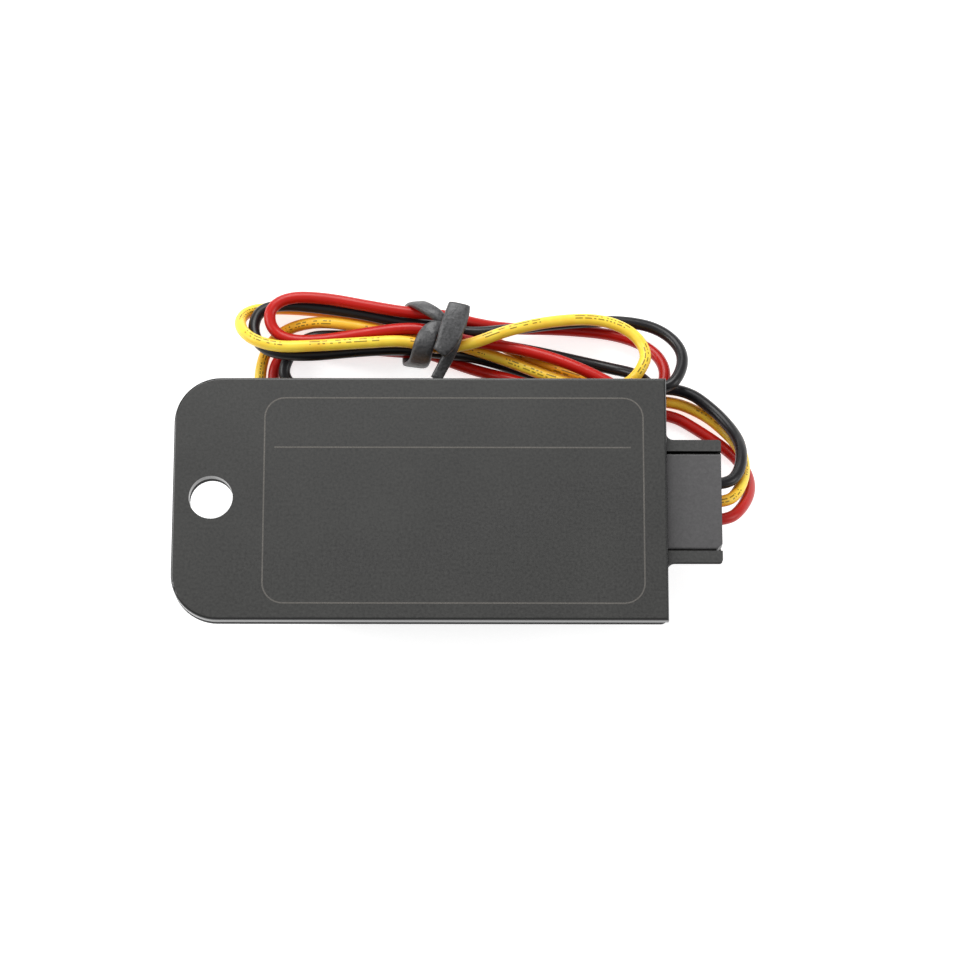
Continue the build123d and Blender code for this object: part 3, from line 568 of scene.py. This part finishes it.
tag_stations = [
    (0.95, 20.6, 6.35, 1.3, 0.75, 0.2, 0, 1),
    (0.7, 19.7, 6.35, 1.4, 0.8, 0.3, -0.2, 1),
    (0.25, 18.8, 5.9, 1.4, 0.8, 0.4, -0.3, 1),
    (-0.2, 17.95, 5.3, 1.35, 0.8, 0.4, -0.3, 1),
    (-0.8, 17.0, 4.8, 1.3, 0.8, 0.3, -0.2, 1),
    (-1.4, 15.9, 4.4, 1.3, 0.8, 0.2, 0, 1),
]
tie_loop = sweep_strip("tie_loop", loop_stations, tie_plastic)
tie_tail = sweep_strip("tie_tail", tail_stations, tie_plastic)
tie_tag = sweep_strip("tie_tag", tag_stations, tie_plastic)
for piece in (tie_loop, tie_tail, tie_tag):
    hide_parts("wire_tie")
    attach(piece, "plug")
print("tie faces:", sum(len(piece.data.polygons) for piece in (tie_loop, tie_tail, tie_tag)))

# %% [markdown]
# A thin frame with one dividing line is engraved in the cover. Its size was measured in the
# photograph through the fitted camera, and nothing is written in it.

# %% Engraved frame
frame_left, frame_right = -19.66, 20.98
frame_low, frame_high = -11.53, 11.06
frame_corner = 2.2
line_width = 0.16
line_lift = 0.008
divider_y = 5.55
divider_ends = (-18.6, 19.65)
cover_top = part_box("back_cover")[1][2] / mm


def rounded_outline(left, low, right, high, corner, steps=8):
    """Points round a rectangle with round corners, anticlockwise."""
    points = []
    centres = [(right - corner, high - corner), (left + corner, high - corner)]
    centres += [(left + corner, low + corner), (right - corner, low + corner)]
    for quarter, (x, y) in enumerate(centres):
        for i in range(steps + 1):
            angle = (quarter + i / steps) * math.pi / 2
            points.append((x + corner * math.cos(angle), y + corner * math.sin(angle)))
    return points


def engrave():
    """The frame and its divider as one thin ribbon mesh just above the cover."""
    half = line_width / 2
    height = cover_top + line_lift
    outer = rounded_outline(
        frame_left - half, frame_low - half, frame_right + half, frame_high + half, frame_corner + half
    )
    inner = rounded_outline(
        frame_left + half, frame_low + half, frame_right - half, frame_high - half, frame_corner - half
    )
    maker = bmesh.new()
    outside = [maker.verts.new(Vector((x, y, height)) * mm) for x, y in outer]
    inside = [maker.verts.new(Vector((x, y, height)) * mm) for x, y in inner]
    for i in range(len(outside)):
        j = (i + 1) % len(outside)
        maker.faces.new((outside[i], outside[j], inside[j], inside[i]))
    low_y, high_y = divider_y - half, divider_y + half
    left_x, right_x = divider_ends
    corners = [(left_x, low_y), (right_x, low_y), (right_x, high_y), (left_x, high_y)]
    maker.faces.new([maker.verts.new(Vector((x, y, height)) * mm) for x, y in corners])
    mesh = bpy.data.meshes.new("engraved_frame")
    maker.to_mesh(mesh)
    maker.free()
    mesh.materials.append(engraving)
    ribbon = bpy.data.objects.new("engraved_frame", mesh)
    bpy.context.scene.collection.objects.link(ribbon)
    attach(ribbon, "module")
    return ribbon


engraved_frame = engrave()
print("engraved faces:", len(engraved_frame.data.polygons))

# %% [markdown]
# The wires' bare tinned ends are CAD pieces and keep their tin finish.

# %% [markdown]
# A white table and even, soft light: the photograph has almost no shadow.


# %% Floor and light
def white_table():
    """A large pale floor under the module."""
    maker = bmesh.new()
    bmesh.ops.create_grid(maker, x_segments=1, y_segments=1, size=1.5)
    mesh = bpy.data.meshes.new("table")
    maker.to_mesh(mesh)
    maker.free()
    material, tree, output, place = start_material("white_table_paint")
    mottle = noise(tree, place, 40 * mm, 2.0, 0.5)
    tone = two_colours(tree, between(tree, mottle, 0.0, 1.0), linear("#d2d2d2"), linear("#d6d6d6"))
    glow = {"Emission Color": linear("#ffffff"), "Emission Strength": 0.72}
    surface(tree, output, {"Base Color": tone, "Roughness": 0.7, **glow})
    mesh.materials.append(material)
    table = bpy.data.objects.new("table", mesh)
    table.location.z = -0.02 * mm
    bpy.context.scene.collection.objects.link(table)
    return table


def soft_light(name, place, size, power):
    """A square area light that faces the module."""
    data = bpy.data.lights.new(name, "AREA")
    data.size = size
    data.energy = power
    light = bpy.data.objects.new(name, data)
    light.location = place
    aim = Vector((0, 0, 0.005)) - Vector(place)
    light.rotation_euler = aim.to_track_quat("-Z", "Y").to_euler()
    bpy.context.scene.collection.objects.link(light)
    return light


table = white_table()
soft_light("light_behind", (-0.03, 0.2, 0.18), 0.16, 0.5)
soft_light("light_left", (-0.7, 0.1, 0.4), 0.4, 3)
soft_light("light_right", (0.7, -0.1, 0.4), 0.4, 2)
world = bpy.data.worlds.new("studio")
world.use_nodes = True
world.node_tree.nodes["Background"].inputs["Color"].default_value = linear("#ffffff")
world.node_tree.nodes["Background"].inputs["Strength"].default_value = 0.5
bpy.context.scene.world = world
bpy.context.scene.view_settings.view_transform = "Standard"
